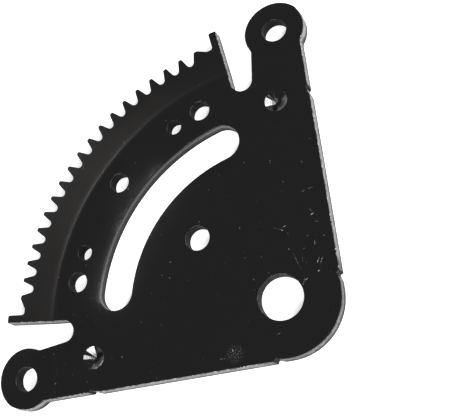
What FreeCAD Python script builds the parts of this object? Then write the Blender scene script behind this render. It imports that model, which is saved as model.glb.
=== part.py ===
import FreeCAD, Part
import math
import os

import Sketcher

# Sector gear: one flat stamped plate with a pivot bore in its corner, two slotted-off ears and a
# toothed rim that is bent up a little along an arc.
# The origin is on the axis of the pivot bore, on the back face. +Z leaves the front face and +Y is
# the axis of symmetry, towards the teeth. Lengths are in millimetres and angles in degrees.
# "Flat radius" is the distance from the pivot axis measured along the surface, as before bending.

NODE = "sector_gear"
PARTS_FOLDER = "parts"

SIZES = {
    # Plate, pivot bore and the corner round it
    "plate_thickness": 6.7,
    "pivot_bore_diameter": 22.2,
    "pivot_wall": 18.15,
    # Straight side edges: a ramp and a step make a small nick at each end of their shaved stretch
    "lead_length": 3.4,
    "arm_edge_length": 26.3,
    "shaved_step": 0.5,
    "nick_radius": 0.95,
    "nick_ramp_angle": 20.0,
    # Ears on the ends of the arms
    "ear_past_bend": 17.9,
    "ear_gap_angle": 13.8,
    "ear_outer_radius": 16.2,
    "ear_shoulder": 3.35,
    "ear_bore_diameter": 12.8,
    "neck_fillet_radius": 3.0,
    # Notches between the ears and the rim
    "notch_radius": 5.55,
    "notch_setback": 7.2,
    # Arc slot, centre bore and the rim's row of holes
    "slot_inner_radius": 78.6,
    "slot_width": 19.1,
    "slot_half_angle": 32.6,
    "slot_to_center_bore": 25.0,
    "center_bore_diameter": 12.8,
    "slot_to_holes": 13.7,
    "large_hole_diameter": 10.7,
    "large_hole_angle": 30.1,
    "small_hole_diameter": 8.0,
    "small_hole_angle": 21.7,
    # Blind drill marks on the roots of the arms
    "mark_setback": 40.8,
    "mark_diameter": 11.8,
    "mark_depth": 3.4,
    "mark_floor_diameter": 1.6,
    # Bent rim
    "holes_to_bend": 13.3,
    "bend_angle": 7.0,
    "bend_inner_radius": 14.0,
    "rim_width": 19.8,
    # Teeth
    "teeth_per_turn": 94,
    "tooth_count": 19,
    "tooth_depth": 6.75,
    "tooth_tip_width": 1.98,
    "flank_angle": 19.5,
    "tip_round_radius": 1.1,
    "tip_break_angle": 20.0,
    # Stops beyond the last teeth
    "stop_width": 4.5,
    "stop_height": 6.5,
    "stop_corner_radius": 1.0,
    "end_gap_depth": 3.0,
    "end_floor_width": 3.45,
    "end_corner_radius": 1.5,
    # How far shapes run past what they cut, and the rim's sweep past its trimmed ends
    "cut_margin": 2.0,
    "sweep_margin": 0.3,
}

# Shared dimensions, worked out from the sizes

CORNER = "(sizes.pivot_bore_diameter / 2 + sizes.pivot_wall)"
SLOT_OUTER = "(sizes.slot_inner_radius + sizes.slot_width)"
HOLE_CIRCLE = f"({SLOT_OUTER} + sizes.slot_to_holes)"
BEND = f"({HOLE_CIRCLE} + sizes.holes_to_bend)"
TIP = f"({BEND} + sizes.rim_width)"
ROOT = f"({TIP} - sizes.tooth_depth)"
STOP = f"({TIP} + sizes.stop_height)"

PITCH = "(360 / sizes.teeth_per_turn)"
RIM_END_ANGLE = f"({PITCH} * (sizes.tooth_count + 1) / 2)"
EAR_ANGLE = f"({RIM_END_ANGLE} + sizes.ear_gap_angle)"

EAR_CENTER = f"({BEND} + sizes.ear_past_bend)"
EAR_X = f"({EAR_CENTER} * sin({EAR_ANGLE}))"
EAR_Y = f"({EAR_CENTER} * cos({EAR_ANGLE}))"
ARM_HALF_WIDTH = "(sizes.ear_outer_radius - sizes.ear_shoulder)"
SHAVED = f"({CORNER} + sizes.shaved_step)"

NOTCH_CENTER = f"({BEND} - sizes.notch_setback)"
PLATE_ARC = f"({NOTCH_CENTER} + sizes.notch_setback * 3 / 4)"
RIM_INNER = f"({NOTCH_CENTER} + sizes.notch_setback / 2)"
TRIM_START = f"({NOTCH_CENTER} + sizes.notch_setback / 4)"

RIM_RISE = f"({STOP} * sin(sizes.bend_angle))"
THROUGH = f"(2 * (sizes.plate_thickness + {RIM_RISE} + sizes.cut_margin))"

doc = FreeCAD.newDocument("SectorGear")
sheet = doc.addObject("Spreadsheet::Sheet", "sizes")
for row, (alias, value) in enumerate(SIZES.items(), start=1):
    sheet.set(f"A{row}", alias)
    sheet.set(f"B{row}", str(value))
    sheet.setAlias(f"B{row}", alias)
doc.recompute()

body = doc.addObject("PartDesign::Body", NODE)
body.Label = NODE
body.Placement = FreeCAD.Placement()
planes = {feature.Role: feature for feature in body.Origin.OriginFeatures}

UP = FreeCAD.Vector(0, 0, 1)
START, END, CENTER = range(1, 4)
X_AXIS, Y_AXIS = range(-1, -3, -1)
ORIGIN = (X_AXIS, START)


def number(expression):
    """The plain number that an expression of the sheet's sizes gives."""
    value = sheet.evalExpression(expression)
    return float(getattr(value, "Value", value))


def vector(x, y):
    """A point of a sketch."""
    return FreeCAD.Vector(x, y, 0)


def polar(radius, degrees):
    """A sketch point at a radius, at an angle counter-clockwise from the sketch's x axis."""
    angle = math.radians(degrees)
    return vector(radius * math.cos(angle), radius * math.sin(angle))


def new_sketch(name, plane):
    """An empty sketch on one of the body's origin planes."""
    sketch = body.newObject("Sketcher::SketchObject", name)
    sketch.AttachmentSupport = [(planes[plane], "")]
    sketch.MapMode = "FlatFace"
    return sketch


def line(sketch, start, end):
    """A straight edge; gives its index in the sketch."""
    return sketch.addGeometry(Part.LineSegment(start, end), False)


def arc(sketch, center, start, end):
    """An arc about a centre, counter-clockwise from the start point to the end point."""
    spokes = [start - center, end - center]
    first, last = [math.atan2(spoke.y, spoke.x) for spoke in spokes]
    if last <= first:
        last += 2 * math.pi
    circle = Part.Circle(center, UP, spokes[0].Length)
    return sketch.addGeometry(Part.ArcOfCircle(circle, first, last), False)


def circle(sketch, center, radius):
    """A full circle; gives its index in the sketch."""
    return sketch.addGeometry(Part.Circle(center, UP, radius), False)


def tie(sketch, kind, *where):
    """A constraint without a size, such as Tangent or Coincident."""
    return sketch.addConstraint(Sketcher.Constraint(kind, *where))


def bind(sketch, kind, *where, to):
    """A constraint whose size follows an expression of the sheet's sizes."""
    value = number(to)
    start_value = math.radians(value) if kind == "Angle" else value
    index = sketch.addConstraint(Sketcher.Constraint(kind, *where, start_value))
    sketch.setExpression(f"Constraints[{index}]", to)
    return index


def place(sketch, index, position, x, y):
    """Holds a point of a sketch at x and y, which are expressions."""
    for kind, value in (("DistanceX", x), ("DistanceY", y)):
        if value is None:
            axis = Y_AXIS if kind == "DistanceX" else X_AXIS
            tie(sketch, "PointOnObject", index, position, axis)
        else:
            bind(sketch, kind, *ORIGIN, index, position, to=value)


def polygon(sketch, points):
    """A closed run of straight edges through points; gives the edges' indices."""
    edges = []
    for start, end in zip(points, points[1:] + points[:1]):
        edges.append(line(sketch, start, end))
    for edge, following in zip(edges, edges[1:] + edges[:1]):
        tie(sketch, "Coincident", edge, END, following, START)
    return edges


def through_cut(name, sketch):
    """A pocket through the whole thickness, both ways from its sketch."""
    pocket = body.newObject("PartDesign::Pocket", name)
    pocket.Profile = sketch
    pocket.SideType = "Symmetric"
    pocket.Type = "Length"
    pocket.setExpression("Length", THROUGH)
    return pocket


def draw_half_outline():
    """The right half of the flat plate: corner, side edge, arm, ear, notch and rim end."""
    sketch = new_sketch("half_outline", "XY_Plane")
    corner = number(CORNER)
    fillet = number("sizes.neck_fillet_radius")
    nick = number("sizes.nick_radius")
    step = number("sizes.shaved_step")
    shoulder = number("sizes.ear_shoulder")
    ear_radius = number("sizes.ear_outer_radius")
    notch = number("sizes.notch_radius")
    half_arm = number(ARM_HALF_WIDTH)
    ear = vector(number(EAR_X), number(EAR_Y))

    # The side edge leaves the corner arc at a tangent and passes the ear's centre at half an arm
    side = math.radians(number(EAR_ANGLE)) - math.asin((corner - half_arm) / ear.Length)
    along = vector(math.sin(side), math.cos(side))
    outward = vector(math.cos(side), -math.sin(side))
    ramp = math.radians(number("sizes.nick_ramp_angle"))
    down_ramp = along * math.cos(ramp) - outward * math.sin(ramp)
    under_ramp = along * -math.sin(ramp) - outward * math.cos(ramp)
    neck_run = math.sqrt((ear_radius + fillet) ** 2 - (half_arm + fillet) ** 2)
    lead_end = number("sizes.lead_length")
    edge_end = ear.dot(along) - neck_run
    edge_start = edge_end - number("sizes.arm_edge_length")
    first_nick = outward * corner + along * (lead_end + nick / math.sin(ramp))
    second_nick = outward * corner + along * (edge_start - nick)
    first_root = first_nick + under_ramp * nick
    second_root = second_nick + under_ramp * nick
    step_foot = first_nick + along * nick
    long_ramp = (nick * math.cos(ramp) + step) / math.sin(ramp)
    outer_neck = outward * (corner + fillet) + along * edge_end
    outer_touch = outer_neck + (ear - outer_neck).normalize() * fillet

    # The rim's end is parallel to the ray through the inner side of the stop
    end_ray = math.radians(number(RIM_END_ANGLE))
    radial = vector(math.sin(end_ray), math.cos(end_ray))
    across = vector(math.cos(end_ray), -math.sin(end_ray))
    stop_width = number("sizes.stop_width")
    notch_run = math.sqrt(number(NOTCH_CENTER) ** 2 - (stop_width + notch) ** 2)
    notch_center = across * (stop_width + notch) + radial * notch_run
    rim_run = math.sqrt(number(PLATE_ARC) ** 2 - stop_width ** 2)

    # The arm's inner edge is tangent to the notch and passes the ear's centre at half an arm
    span = ear - notch_center
    turn = math.asin((half_arm + notch) / span.Length)
    heading = math.atan2(span.y, span.x) + turn
    inner_along = vector(math.cos(heading), math.sin(heading))
    inner_side = vector(-inner_along.y, inner_along.x)
    inner_neck = ear + inner_side * (half_arm + fillet) - inner_along * neck_run
    inner_touch = inner_neck + (ear - inner_neck).normalize() * fillet

    bottom = vector(0, -corner)
    top = vector(0, number(PLATE_ARC))
    middle = vector(0, 0)
    axis_edge = line(sketch, top, bottom)
    corner_arc = arc(sketch, middle, bottom, outward * corner)
    lead = line(sketch, outward * corner, outward * corner + along * lead_end)
    ramp_one = line(sketch, outward * corner + along * lead_end, first_root)
    nick_one = arc(sketch, first_nick, step_foot, first_root)
    step_up = line(sketch, step_foot, step_foot + outward * step)
    shaved_edge = line(sketch, step_foot + outward * step, second_root - down_ramp * long_ramp)
    ramp_two = line(sketch, second_root - down_ramp * long_ramp, second_root)
    nick_two = arc(sketch, second_nick, outward * corner + along * edge_start, second_root)
    arm_edge = line(sketch, outward * corner + along * edge_start, outward * corner + along * edge_end)
    outer_fillet = arc(sketch, outer_neck, outer_touch, outward * corner + along * edge_end)
    ear_arc = arc(sketch, ear, outer_touch, inner_touch)
    inner_fillet = arc(sketch, inner_neck, inner_neck - inner_side * fillet, inner_touch)
    inner_edge = line(sketch, inner_neck - inner_side * fillet, notch_center - inner_side * notch)
    notch_arc = arc(sketch, notch_center, notch_center - across * notch, notch_center - inner_side * notch)
    rim_end = line(sketch, notch_center - across * notch, across * stop_width + radial * rim_run)
    plate_arc = arc(sketch, middle, across * stop_width + radial * rim_run, top)

    tie(sketch, "Coincident", axis_edge, END, corner_arc, START)
    tie(sketch, "Tangent", corner_arc, END, lead, START)
    tie(sketch, "Coincident", lead, END, ramp_one, START)
    tie(sketch, "Tangent", ramp_one, END, nick_one, END)
    tie(sketch, "Tangent", nick_one, START, step_up, START)
    tie(sketch, "Coincident", step_up, END, shaved_edge, START)
    tie(sketch, "Coincident", shaved_edge, END, ramp_two, START)
    tie(sketch, "Tangent", ramp_two, END, nick_two, END)
    tie(sketch, "Coincident", nick_two, START, arm_edge, START)
    tie(sketch, "Tangent", arm_edge, END, outer_fillet, END)
    tie(sketch, "Tangent", outer_fillet, START, ear_arc, START)
    tie(sketch, "Tangent", ear_arc, END, inner_fillet, END)
    tie(sketch, "Tangent", inner_fillet, START, inner_edge, START)
    tie(sketch, "Tangent", inner_edge, END, notch_arc, END)
    tie(sketch, "Tangent", notch_arc, START, rim_end, START)
    tie(sketch, "Coincident", rim_end, END, plate_arc, START)
    tie(sketch, "Coincident", plate_arc, END, axis_edge, START)

    tie(sketch, "PointOnObject", axis_edge, START, Y_AXIS)
    tie(sketch, "PointOnObject", axis_edge, END, Y_AXIS)
    tie(sketch, "Coincident", corner_arc, CENTER, *ORIGIN)
    tie(sketch, "Coincident", plate_arc, CENTER, *ORIGIN)
    tie(sketch, "Parallel", lead, shaved_edge)
    tie(sketch, "Parallel", lead, arm_edge)
    tie(sketch, "Parallel", ramp_one, ramp_two)
    tie(sketch, "PointOnObject", nick_one, CENTER, lead)
    tie(sketch, "PointOnObject", nick_one, START, lead)
    tie(sketch, "PointOnObject", nick_two, CENTER, arm_edge)
    tie(sketch, "Equal", nick_one, nick_two)
    tie(sketch, "Equal", outer_fillet, inner_fillet)

    bind(sketch, "Radius", corner_arc, to=CORNER)
    bind(sketch, "Distance", lead, to="sizes.lead_length")
    bind(sketch, "Distance", arm_edge, to="sizes.arm_edge_length")
    bind(sketch, "Distance", *ORIGIN, shaved_edge, to=SHAVED)
    bind(sketch, "Distance", *ORIGIN, arm_edge, to=CORNER)
    bind(sketch, "Radius", nick_one, to="sizes.nick_radius")
    bind(sketch, "Angle", lead, ramp_one, to="sizes.nick_ramp_angle")
    bind(sketch, "Radius", outer_fillet, to="sizes.neck_fillet_radius")
    bind(sketch, "Radius", ear_arc, to="sizes.ear_outer_radius")
    place(sketch, ear_arc, CENTER, EAR_X, EAR_Y)
    bind(sketch, "Distance", ear_arc, CENTER, arm_edge, to=ARM_HALF_WIDTH)
    bind(sketch, "Distance", ear_arc, CENTER, inner_edge, to=ARM_HALF_WIDTH)
    bind(sketch, "Radius", notch_arc, to="sizes.notch_radius")
    bind(sketch, "Distance", *ORIGIN, notch_arc, CENTER, to=NOTCH_CENTER)
    bind(sketch, "Distance", *ORIGIN, rim_end, to="sizes.stop_width")
    bind(sketch, "Angle", rim_end, to=f"90 - {RIM_END_ANGLE}")
    bind(sketch, "Radius", plate_arc, to=PLATE_ARC)
    return sketch


def draw_rim_section():
    """The rim's section through the axis of symmetry: flat at first, then bent up to the stops' ends."""
    sketch = new_sketch("rim_section", "YZ_Plane")
    thickness = number("sizes.plate_thickness")
    inner = number(RIM_INNER)
    angle = number("sizes.bend_angle")
    radius = number("sizes.bend_inner_radius")
    setback = "sizes.bend_inner_radius * tan(sizes.bend_angle / 2)"
    tangent_length = f"{STOP} - {BEND} - {setback}"
    center = vector(number(f"{BEND} - {setback}"), thickness + radius)
    outer = radius + thickness
    slope = polar(1, angle)
    normal = polar(1, angle - 90)
    front_bend_end = center + normal * radius
    back_bend_end = center + normal * outer
    run = number(tangent_length)

    back = line(sketch, vector(inner, 0), vector(center.x, 0))
    back_bend = arc(sketch, center, vector(center.x, 0), back_bend_end)
    back_slope = line(sketch, back_bend_end, back_bend_end + slope * run)
    edge = line(sketch, back_bend_end + slope * run, front_bend_end + slope * run)
    front_slope = line(sketch, front_bend_end + slope * run, front_bend_end)
    front_bend = arc(sketch, center, vector(center.x, thickness), front_bend_end)
    front = line(sketch, vector(center.x, thickness), vector(inner, thickness))
    inside = line(sketch, vector(inner, thickness), vector(inner, 0))

    tie(sketch, "Tangent", back, END, back_bend, START)
    tie(sketch, "Tangent", back_bend, END, back_slope, START)
    tie(sketch, "Coincident", back_slope, END, edge, START)
    tie(sketch, "Coincident", edge, END, front_slope, START)
    tie(sketch, "Tangent", front_slope, END, front_bend, END)
    tie(sketch, "Tangent", front_bend, START, front, START)
    tie(sketch, "Coincident", front, END, inside, START)
    tie(sketch, "Coincident", inside, END, back, START)
    tie(sketch, "Horizontal", back)
    tie(sketch, "Horizontal", front)
    tie(sketch, "Vertical", inside)
    tie(sketch, "Parallel", back_slope, front_slope)
    tie(sketch, "Perpendicular", edge, front_slope)
    tie(sketch, "Coincident", front_bend, CENTER, back_bend, CENTER)
    place(sketch, back, START, RIM_INNER, None)
    bind(sketch, "Distance", inside, to="sizes.plate_thickness")
    bind(sketch, "DistanceX", *ORIGIN, front_bend, CENTER, to=f"{BEND} - {setback}")
    bind(sketch, "Radius", front_bend, to="sizes.bend_inner_radius")
    bind(sketch, "Angle", back_slope, to="sizes.bend_angle")
    bind(sketch, "Distance", front_slope, to=tangent_length)
    return sketch


def draw_tip_section():
    """What is cut from the rim between the stops: all beyond the tooth tips, square to the rim."""
    sketch = new_sketch("tip_section", "YZ_Plane")
    margin = "sizes.cut_margin"
    across = f"sizes.plate_thickness + 2 * {margin}"
    beyond = f"{STOP} - {TIP} + {margin}"
    reach = f"({TIP} - {BEND})"
    sine = "sin(sizes.bend_angle)"
    cosine = "cos(sizes.bend_angle)"
    corner_x = f"{BEND} + {reach} * {cosine} - {margin} * {sine}"
    corner_y = f"sizes.plate_thickness + {reach} * {sine} + {margin} * {cosine}"
    corner = vector(number(corner_x), number(corner_y))
    slope = polar(number(beyond), number("sizes.bend_angle"))
    down = polar(number(across), number("sizes.bend_angle") - 90)

    points = [corner, corner + down, corner + down + slope, corner + slope]
    tip_side, back_side, outer_side, front_side = polygon(sketch, points)
    tie(sketch, "Perpendicular", tip_side, back_side)
    tie(sketch, "Perpendicular", back_side, outer_side)
    tie(sketch, "Perpendicular", outer_side, front_side)
    place(sketch, tip_side, START, corner_x, corner_y)
    bind(sketch, "Distance", tip_side, to=across)
    bind(sketch, "Distance", back_side, to=beyond)
    bind(sketch, "Angle", back_side, to="sizes.bend_angle")
    return sketch


def draw_rim_trim():
    """A strip along the rim's right end, outside the stop, as wide as the notch's radius."""
    sketch = new_sketch("rim_trim", "XY_Plane")
    ray = number(RIM_END_ANGLE)
    radial = polar(1, 90 - ray)
    across = polar(1, -ray)
    near = across * number("sizes.stop_width")
    far = near + across * number("sizes.notch_radius")
    start = number(TRIM_START)
    end_expression = f"({STOP} + sizes.cut_margin)"
    end = number(end_expression)
    points = [near + radial * start, far + radial * start, far + radial * end, near + radial * end]
    first, outer, last, rim_side = polygon(sketch, points)
    tie(sketch, "Perpendicular", first, outer)
    tie(sketch, "Perpendicular", outer, last)
    tie(sketch, "Perpendicular", last, rim_side)
    bind(sketch, "Distance", first, to="sizes.notch_radius")
    bind(sketch, "Distance", *ORIGIN, rim_side, to="sizes.stop_width")
    bind(sketch, "Distance", *ORIGIN, first, to=TRIM_START)
    bind(sketch, "Distance", *ORIGIN, last, to=end_expression)
    bind(sketch, "Angle", outer, to=f"90 - {RIM_END_ANGLE}")
    return sketch


def lay_on_rim(sketch, ray_angle):
    """Lays a sketch on the rim's front face, its y axis along the ray, y being the flat radius."""
    turn = f"placement(vector(0; 0; 0); rotation(vector(0; 0; 1); -({ray_angle})))"
    base_y = f"{BEND} * (1 - cos(sizes.bend_angle))"
    base_z = f"sizes.plate_thickness - {BEND} * sin(sizes.bend_angle)"
    tilt = f"placement(vector(0; {base_y}; {base_z}); rotation(vector(1; 0; 0); sizes.bend_angle))"
    sketch.setExpression("AttachmentOffset", f"{turn} * {tilt}")


# The gap between two teeth at the tip: half its width, and the height of its corner
HALF_GAP = f"({PITCH} / 2 - sizes.tooth_tip_width / 2 / {TIP} * 180 / pi)"
GAP_CORNER_X = f"({TIP} * sin({HALF_GAP}))"
GAP_CORNER_Y = f"({TIP} * cos({HALF_GAP}))"
FLANK_SINE = "sin(sizes.flank_angle)"
FLANK_COSINE = "cos(sizes.flank_angle)"
ROOT_ROUND = (
    f"(({GAP_CORNER_X} * {FLANK_COSINE} - ({GAP_CORNER_Y} - {ROOT}) * {FLANK_SINE})"
    f" / (1 - {FLANK_SINE}))"
)


def draw_tooth_gap():
    """One gap between two teeth: a round root, straight flanks, and rounded tips to both sides."""
    sketch = new_sketch("tooth_gap", "XY_Plane")
    lay_on_rim(sketch, f"{PITCH} * (sizes.tooth_count - 2) / 2")
    flank = number("sizes.flank_angle")
    rounding = number("sizes.tip_round_radius")
    tip_center_y = f"({GAP_CORNER_Y} - sizes.tip_round_radius * cos(sizes.tip_break_angle))"
    tip_center_x = (
        f"({GAP_CORNER_X} - ({GAP_CORNER_Y} - {tip_center_y}) * tan(sizes.flank_angle)"
        f" + sizes.tip_round_radius / {FLANK_COSINE})"
    )
    lip = "sizes.tip_round_radius * sin(sizes.tip_break_angle / 4)"
    top_y = f"{TIP} + sizes.cut_margin"

    root_center = vector(0, number(f"{ROOT} + {ROOT_ROUND}"))
    root_touch = root_center + polar(number(ROOT_ROUND), -flank)
    tip_center = vector(number(tip_center_x), number(tip_center_y))
    tip_touch = tip_center + polar(rounding, 180 - flank)
    lip_point = tip_center + polar(rounding, 90 + number("sizes.tip_break_angle") / 4)
    top_corner = vector(lip_point.x, number(top_y))

    def mirrored(point):
        return vector(-point.x, point.y)

    root = arc(sketch, root_center, mirrored(root_touch), root_touch)
    right_flank = line(sketch, root_touch, tip_touch)
    right_tip = arc(sketch, tip_center, lip_point, tip_touch)
    right_riser = line(sketch, lip_point, top_corner)
    top = line(sketch, top_corner, mirrored(top_corner))
    left_riser = line(sketch, mirrored(top_corner), mirrored(lip_point))
    left_tip = arc(sketch, mirrored(tip_center), mirrored(tip_touch), mirrored(lip_point))
    left_flank = line(sketch, mirrored(tip_touch), mirrored(root_touch))

    tie(sketch, "Tangent", root, END, right_flank, START)
    tie(sketch, "Tangent", right_flank, END, right_tip, END)
    tie(sketch, "Coincident", right_tip, START, right_riser, START)
    tie(sketch, "Coincident", right_riser, END, top, START)
    tie(sketch, "Coincident", top, END, left_riser, START)
    tie(sketch, "Coincident", left_riser, END, left_tip, END)
    tie(sketch, "Tangent", left_tip, START, left_flank, START)
    tie(sketch, "Tangent", left_flank, END, root, START)
    tie(sketch, "Vertical", right_riser)
    tie(sketch, "Symmetric", right_tip, CENTER, left_tip, CENTER, Y_AXIS)
    tie(sketch, "Symmetric", right_tip, START, left_tip, END, Y_AXIS)
    tie(sketch, "Symmetric", top, START, top, END, Y_AXIS)
    place(sketch, root, CENTER, None, f"{ROOT} + {ROOT_ROUND}")
    bind(sketch, "Radius", root, to=ROOT_ROUND)
    bind(sketch, "Radius", right_tip, to="sizes.tip_round_radius")
    bind(sketch, "DistanceY", *ORIGIN, right_tip, CENTER, to=tip_center_y)
    bind(sketch, "DistanceX", *ORIGIN, right_tip, CENTER, to=tip_center_x)
    bind(sketch, "DistanceX", right_tip, START, right_tip, CENTER, to=lip)
    bind(sketch, "DistanceY", *ORIGIN, top, START, to=top_y)
    return sketch


def draw_end_gap():
    """The shallow gap between the last tooth and the stop: a ramp, a floor and a round corner."""
    sketch = new_sketch("end_gap", "XY_Plane")
    lay_on_rim(sketch, RIM_END_ANGLE)
    corner_turn = f"({PITCH} - sizes.tooth_tip_width / 2 / {TIP} * 180 / pi)"
    ramp_x = f"({TIP} * sin({corner_turn}))"
    ramp_y = f"({TIP} * cos({corner_turn}))"
    floor_y = f"({TIP} - sizes.end_gap_depth)"
    top_y = f"({TIP} + sizes.cut_margin)"
    radius = number("sizes.end_corner_radius")

    foot = vector(-number("sizes.end_floor_width"), number(floor_y))
    crest = vector(-number(ramp_x), number(ramp_y))
    slope = (crest - foot) * (1 / (crest.y - foot.y))
    ramp_end = foot + slope * (number(top_y) - foot.y)
    center = vector(-radius, foot.y + radius)
    corner_foot = vector(-radius, foot.y)
    stop_foot = vector(0, center.y)
    stop_top = vector(0, number(top_y))

    floor = line(sketch, foot, corner_foot)
    corner = arc(sketch, center, corner_foot, stop_foot)
    stop_side = line(sketch, stop_foot, stop_top)
    top = line(sketch, stop_top, ramp_end)
    ramp = line(sketch, ramp_end, foot)
    crest_point = sketch.addGeometry(Part.Point(crest), True)

    tie(sketch, "Tangent", floor, END, corner, START)
    tie(sketch, "Tangent", corner, END, stop_side, START)
    tie(sketch, "Coincident", stop_side, END, top, START)
    tie(sketch, "Coincident", top, END, ramp, START)
    tie(sketch, "Coincident", ramp, END, floor, START)
    tie(sketch, "Horizontal", floor)
    tie(sketch, "Horizontal", top)
    tie(sketch, "Vertical", stop_side)
    tie(sketch, "PointOnObject", stop_side, END, Y_AXIS)
    tie(sketch, "PointOnObject", crest_point, START, ramp)
    bind(sketch, "DistanceX", crest_point, START, *ORIGIN, to=ramp_x)
    bind(sketch, "DistanceY", *ORIGIN, crest_point, START, to=ramp_y)
    bind(sketch, "DistanceX", floor, START, *ORIGIN, to="sizes.end_floor_width")
    bind(sketch, "DistanceY", *ORIGIN, floor, START, to=floor_y)
    bind(sketch, "DistanceY", *ORIGIN, top, START, to=top_y)
    bind(sketch, "Radius", corner, to="sizes.end_corner_radius")
    return sketch


def draw_side_holes():
    """The right ear's bore and the two rim holes right of the axis."""
    sketch = new_sketch("side_holes", "XY_Plane")
    holes = [
        (EAR_CENTER, EAR_ANGLE, "sizes.ear_bore_diameter"),
        (HOLE_CIRCLE, "sizes.large_hole_angle", "sizes.large_hole_diameter"),
        (HOLE_CIRCLE, "sizes.small_hole_angle", "sizes.small_hole_diameter"),
    ]
    for radius, angle, diameter in holes:
        x = f"{radius} * sin({angle})"
        y = f"{radius} * cos({angle})"
        hole = circle(sketch, vector(number(x), number(y)), number(diameter) / 2)
        place(sketch, hole, CENTER, x, y)
        bind(sketch, "Diameter", hole, to=diameter)
    return sketch


def draw_axis_holes():
    """The pivot bore, the centre bore and the rim hole on the axis of symmetry."""
    sketch = new_sketch("axis_holes", "XY_Plane")
    pivot = circle(sketch, vector(0, 0), number("sizes.pivot_bore_diameter") / 2)
    tie(sketch, "Coincident", pivot, CENTER, *ORIGIN)
    bind(sketch, "Diameter", pivot, to="sizes.pivot_bore_diameter")
    holes = [
        ("sizes.slot_inner_radius - sizes.slot_to_center_bore", "sizes.center_bore_diameter"),
        (HOLE_CIRCLE, "sizes.large_hole_diameter"),
    ]
    for radius, diameter in holes:
        hole = circle(sketch, vector(0, number(radius)), number(diameter) / 2)
        place(sketch, hole, CENTER, None, radius)
        bind(sketch, "Diameter", hole, to=diameter)
    return sketch


def draw_arc_slot():
    """The arc slot about the pivot, with round ends."""
    sketch = new_sketch("arc_slot", "XY_Plane")
    middle = number("sizes.slot_inner_radius + sizes.slot_width / 2")
    half_width = number("sizes.slot_width / 2")
    half_angle = number("sizes.slot_half_angle")
    right, left = 90 - half_angle, 90 + half_angle
    inner = arc(sketch, vector(0, 0), polar(middle - half_width, right), polar(middle - half_width, left))
    outer = arc(sketch, vector(0, 0), polar(middle + half_width, right), polar(middle + half_width, left))
    right_end = arc(
        sketch, polar(middle, right), polar(middle - half_width, right), polar(middle + half_width, right)
    )
    left_end = arc(
        sketch, polar(middle, left), polar(middle + half_width, left), polar(middle - half_width, left)
    )
    tie(sketch, "Tangent", inner, START, right_end, START)
    tie(sketch, "Tangent", right_end, END, outer, START)
    tie(sketch, "Tangent", outer, END, left_end, START)
    tie(sketch, "Tangent", left_end, END, inner, END)
    tie(sketch, "Coincident", inner, CENTER, *ORIGIN)
    tie(sketch, "Coincident", outer, CENTER, *ORIGIN)
    bind(sketch, "Radius", inner, to="sizes.slot_inner_radius")
    bind(sketch, "Radius", outer, to=SLOT_OUTER)
    end_x = "(sizes.slot_inner_radius + sizes.slot_width / 2) * sin(sizes.slot_half_angle)"
    bind(sketch, "DistanceX", *ORIGIN, right_end, CENTER, to=end_x)
    bind(sketch, "DistanceX", left_end, CENTER, *ORIGIN, to=end_x)
    return sketch


def cut_drill_mark():
    """The blind conical mark on the right arm's root, on the ray of the ear."""
    mark = body.newObject("PartDesign::SubtractiveCone", "drill_mark")
    mark.AttachmentSupport = [(planes["XY_Plane"], "")]
    mark.MapMode = "FlatFace"
    mark.setExpression("Radius1", "sizes.mark_floor_diameter / 2")
    mark.setExpression("Radius2", "sizes.mark_diameter / 2")
    mark.setExpression("Height", "sizes.mark_depth")
    radius = f"({EAR_CENTER} - sizes.mark_setback)"
    mark.setExpression("AttachmentOffset.Base.x", f"{radius} * sin({EAR_ANGLE})")
    mark.setExpression("AttachmentOffset.Base.y", f"{radius} * cos({EAR_ANGLE})")
    mark.setExpression("AttachmentOffset.Base.z", "sizes.plate_thickness - sizes.mark_depth")
    return mark


def stop_corner_edges(shape):
    """The names of the stops' four outer corner edges: they run through the rim, at its full reach."""
    bend = number(BEND)
    angle = math.radians(number("sizes.bend_angle"))
    thickness = number("sizes.plate_thickness")

    def flat_radius(point):
        along = math.hypot(point.x, point.y) - bend
        return bend + along * math.cos(angle) + (point.z - thickness) * math.sin(angle)

    names = []
    for position, edge in enumerate(shape.Edges, start=1):
        ends = [vertex.Point for vertex in edge.Vertexes]
        at_reach = all(math.isclose(flat_radius(point), number(STOP), abs_tol=0.01) for point in ends)
        if at_reach and abs(ends[0].z - ends[-1].z) > thickness / 2:
            names.append(f"Edge{position}")
    return names


# Plate and bent rim

plate = body.newObject("PartDesign::Pad", "half_plate")
plate.Profile = draw_half_outline()
plate.setExpression("Length", "sizes.plate_thickness")

rim_sketch = draw_rim_section()
rim = body.newObject("PartDesign::Revolution", "bent_rim")
rim.Profile = rim_sketch
rim.ReferenceAxis = (rim_sketch, ["V_Axis"])
rim.Midplane = True
rim_half_sweep = f"{RIM_END_ANGLE} + asin(sizes.stop_width / {RIM_INNER}) / 1deg + sizes.sweep_margin"
rim.setExpression("Angle", f"2 * ({rim_half_sweep})")

tip_sketch = draw_tip_section()
tips = body.newObject("PartDesign::Groove", "tooth_tips")
tips.Profile = tip_sketch
tips.ReferenceAxis = (tip_sketch, ["V_Axis"])
tips.Midplane = True
tips.setExpression("Angle", f"2 * {RIM_END_ANGLE}")

# What is alike on the right and on the left

trim = through_cut("rim_end", draw_rim_trim())
end_gap = through_cut("end_gap_cut", draw_end_gap())
side_holes = through_cut("side_bores", draw_side_holes())
mark = cut_drill_mark()

mirror = body.newObject("PartDesign::Mirrored", "left_half")
mirror.Originals = [plate, trim, end_gap, side_holes, mark]
mirror.MirrorPlane = (planes["YZ_Plane"], [""])
body.Tip = mirror

# Holes on the axis of symmetry, and the slot across it

through_cut("axis_bores", draw_axis_holes())
through_cut("slot_cut", draw_arc_slot())

# Teeth

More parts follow.
